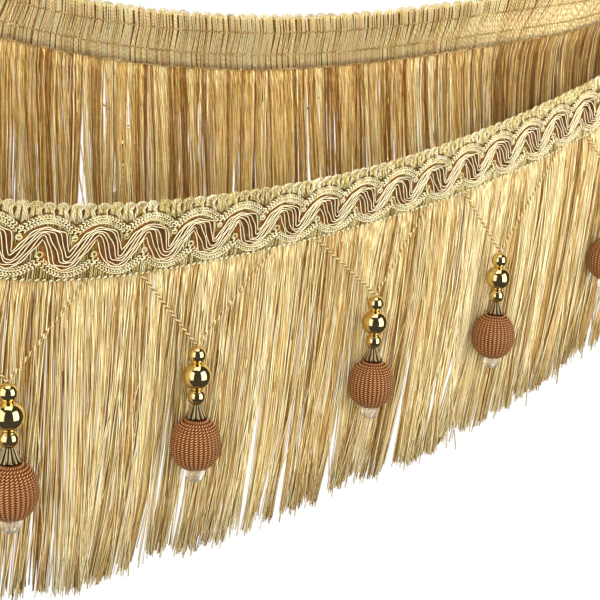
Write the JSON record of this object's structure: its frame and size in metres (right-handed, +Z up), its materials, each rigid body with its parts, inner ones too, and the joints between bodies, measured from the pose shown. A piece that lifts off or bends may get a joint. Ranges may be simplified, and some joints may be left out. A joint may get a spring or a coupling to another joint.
{
  "type": "hung turn of beaded tassel fringe trim",
  "caption": "Woven trim with a braided zigzag heading, a long cut yarn fringe and bead-and-ball drops on V strings, hung at two points as one open swagged turn.",
  "frame": {"origin": "top edge of the heading at the left hanging point, where the two cut ends of the trim meet", "axes": "+X along the turn towards the right hanging point, +Y towards the back of the turn, +Z up"},
  "size_m": [0.4818, 0.1993, 0.2495],
  "materials": {
    "gold_yarn": "silky straw-gold rayon yarn",
    "pale_chain_yarn": "pale gold chainette braid",
    "brown_zigzag_yarn": "dark brown satin ribbon between cream and rose cords",
    "twisted_string": "fine two-ply gold cord",
    "polished_gold": "polished gold-plated round beads",
    "copper_thread": "copper-brown stitched thread over a round core",
    "antique_brass": "antiqued brass, dark in the flutes, for the cap over each ball",
    "clear_bead": "clear frosted end bead under each ball"
  },
  "bodies": {
    "root": {"heading_tape": "gold_yarn", "braid_upper": "pale_chain_yarn", "braid_lower": "pale_chain_yarn", "zigzag_braid": "brown_zigzag_yarn", "fringe_01": "gold_yarn", "fringe_02": "gold_yarn", "fringe_03": "gold_yarn", "fringe_04": "gold_yarn", "fringe_05": "gold_yarn", "fringe_06": "gold_yarn", "fringe_07": "gold_yarn", "fringe_08": "gold_yarn", "fringe_09": "gold_yarn", "fringe_10": "gold_yarn", "fringe_11": "gold_yarn", "fringe_12": "gold_yarn", "fringe_13": "gold_yarn", "drop_01_string": "twisted_string", "drop_01_beads": "polished_gold", "drop_01_ball": "copper_thread", "drop_02_string": "twisted_string", "drop_02_beads": "polished_gold", "drop_02_ball": "copper_thread", "drop_03_string": "twisted_string", "drop_03_beads": "polished_gold", "drop_03_ball": "copper_thread", "drop_04_string": "twisted_string", "drop_04_beads": "polished_gold", "drop_04_ball": "copper_thread", "drop_05_string": "twisted_string", "drop_05_beads": "polished_gold", "drop_05_ball": "copper_thread", "drop_06_string": "twisted_string", "drop_06_beads": "polished_gold", "drop_06_ball": "copper_thread", "drop_07_string": "twisted_string", "drop_07_beads": "polished_gold", "drop_07_ball": "copper_thread", "drop_08_string": "twisted_string", "drop_08_beads": "polished_gold", "drop_08_ball": "copper_thread", "drop_09_string": "twisted_string", "drop_09_beads": "polished_gold", "drop_09_ball": "copper_thread", "drop_10_string": "twisted_string", "drop_10_beads": "polished_gold", "drop_10_ball": "copper_thread", "drop_11_string": "twisted_string", "drop_11_beads": "polished_gold", "drop_11_ball": "copper_thread", "drop_12_string": "twisted_string", "drop_12_beads": "polished_gold", "drop_12_ball": "copper_thread", "drop_13_string": "twisted_string", "drop_13_beads": "polished_gold", "drop_13_ball": "copper_thread"}
  },
  "joints": []
}
